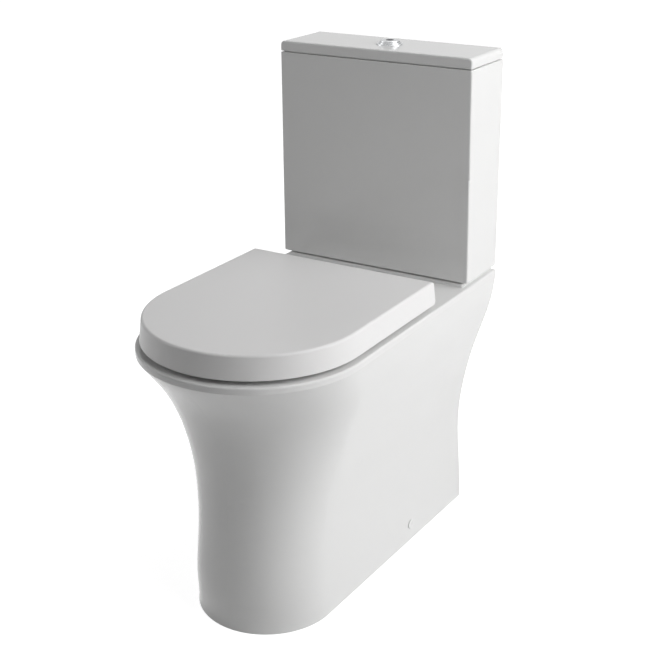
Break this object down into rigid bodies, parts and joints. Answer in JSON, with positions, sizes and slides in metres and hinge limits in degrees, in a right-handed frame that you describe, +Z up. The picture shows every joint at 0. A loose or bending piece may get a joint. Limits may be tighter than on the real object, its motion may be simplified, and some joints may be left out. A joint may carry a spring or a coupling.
{
  "type": "back to wall toilet",
  "caption": "Close-coupled back-to-wall toilet with a skirted pan, slim cistern, round dual-flush button and wrap-over soft-close seat.",
  "frame": {"origin": "middle of the footprint on the floor", "axes": "+Z up, -Y out from the wall towards the user, +X to the right seen from the front"},
  "size_m": [0.371, 0.6646, 0.8676],
  "materials": {
    "vitreous_china": "glossy white glaze",
    "seat_plastic": "glossy moulded white",
    "white_plastic": "moulded",
    "grey_plastic": "moulded",
    "chrome": "bright chrome plate",
    "rubber": "matte",
    "steel": "zinc plated"
  },
  "bodies": {
    "suite": {"pan": "vitreous_china", "pan_bowl": "vitreous_china", "pan_trapway": "vitreous_china", "floor_brackets": "grey_plastic", "side_fixing_screws": "steel", "side_fixing_caps": "white_plastic", "cistern_body": "vitreous_china", "cistern_lid": "vitreous_china", "cistern_support_pads": "rubber", "coupling_bolts": "steel", "coupling_bolt_seals": "rubber", "coupling_washers": "steel", "coupling_wing_nuts": "steel", "doughnut_washer": "rubber", "flush_valve_base": "white_plastic", "flush_valve_washer": "rubber", "flush_valve_backnut": "white_plastic", "flush_valve_cage": "white_plastic", "flush_lever_pin": "steel", "fill_valve_body": "white_plastic", "fill_valve_washer": "rubber", "fill_valve_backnut": "white_plastic", "fill_valve_cap": "grey_plastic", "float_arm_pin": "steel", "button_bezel": "chrome", "button_locknut": "white_plastic", "full_flush_spring": "steel", "half_flush_spring": "steel", "hinge_posts": "chrome", "hinge_pins": "steel", "hinge_post_gaskets": "rubber", "hinge_bolts": "steel", "hinge_washers": "rubber", "hinge_wing_nuts": "white_plastic"},
    "seat_lid": {"seat_lid": "seat_plastic", "seat_lid_buffers": "rubber", "seat_lid_dampers": "grey_plastic"},
    "seat_ring": {"seat_ring": "seat_plastic", "seat_ring_buffers": "rubber", "seat_ring_dampers": "grey_plastic"},
    "full_button": {"full_flush_button": "chrome", "full_flush_rod": "white_plastic"},
    "half_button": {"half_flush_button": "chrome", "half_flush_rod": "white_plastic"},
    "lever": {"flush_lever": "grey_plastic"},
    "piston": {"overflow_tube": "grey_plastic", "flush_seal": "rubber"},
    "float": {"fill_valve_float": "grey_plastic"},
    "float_lever": {"float_arm": "white_plastic"}
  },
  "joints": [
    {"name": "lid_hinge", "type": "hinge", "parent": "suite", "child": "seat_lid", "pos_m": [0, 0.1323, 0.492], "axis": [-1, 0, 0], "range_deg": [0, 98]},
    {"name": "ring_hinge", "type": "hinge", "parent": "suite", "child": "seat_ring", "pos_m": [0, 0.1323, 0.492], "axis": [-1, 0, 0], "range_deg": [0, 92.2]},
    {"name": "full_flush", "type": "slide", "parent": "suite", "child": "full_button", "axis": [0, 0, -1], "range_m": [0, 0.006], "stiffness_N_per_m": 600, "springref_m": -0.004, "deforming": ["full_flush_spring"]},
    {"name": "half_flush", "type": "slide", "parent": "suite", "child": "half_button", "axis": [0, 0, -1], "range_m": [0, 0.006], "stiffness_N_per_m": 600, "springref_m": -0.004, "deforming": ["half_flush_spring"]},
    {"name": "lever_rock", "type": "hinge", "parent": "suite", "child": "lever", "pos_m": [-0.0042, 0.2703, 0.71], "axis": [0, 1, 0], "range_deg": [0, 22.1]},
    {"name": "piston_lift", "type": "slide", "parent": "suite", "child": "piston", "axis": [0, 0, 1], "range_m": [0, 0.0116]},
    {"name": "float_rise", "type": "slide", "parent": "suite", "child": "float", "axis": [0, 0, 1], "range_m": [0, 0.015]},
    {"name": "float_arm_swing", "type": "hinge", "parent": "suite", "child": "float_lever", "pos_m": [-0.135, 0.2703, 0.812], "axis": [0, -1, 0], "range_deg": [0, 21.6]}
  ],
  "couplings": [
    {"joint": "ring_hinge", "follows": "lid_hinge", "ratio": 0.94},
    {"joint": "lever_rock", "follows": "full_flush", "rad_per_m": 64.1},
    {"joint": "piston_lift", "follows": "full_flush", "ratio": 1.92},
    {"joint": "float_arm_swing", "follows": "float_rise", "rad_per_m": 25}
  ]
}
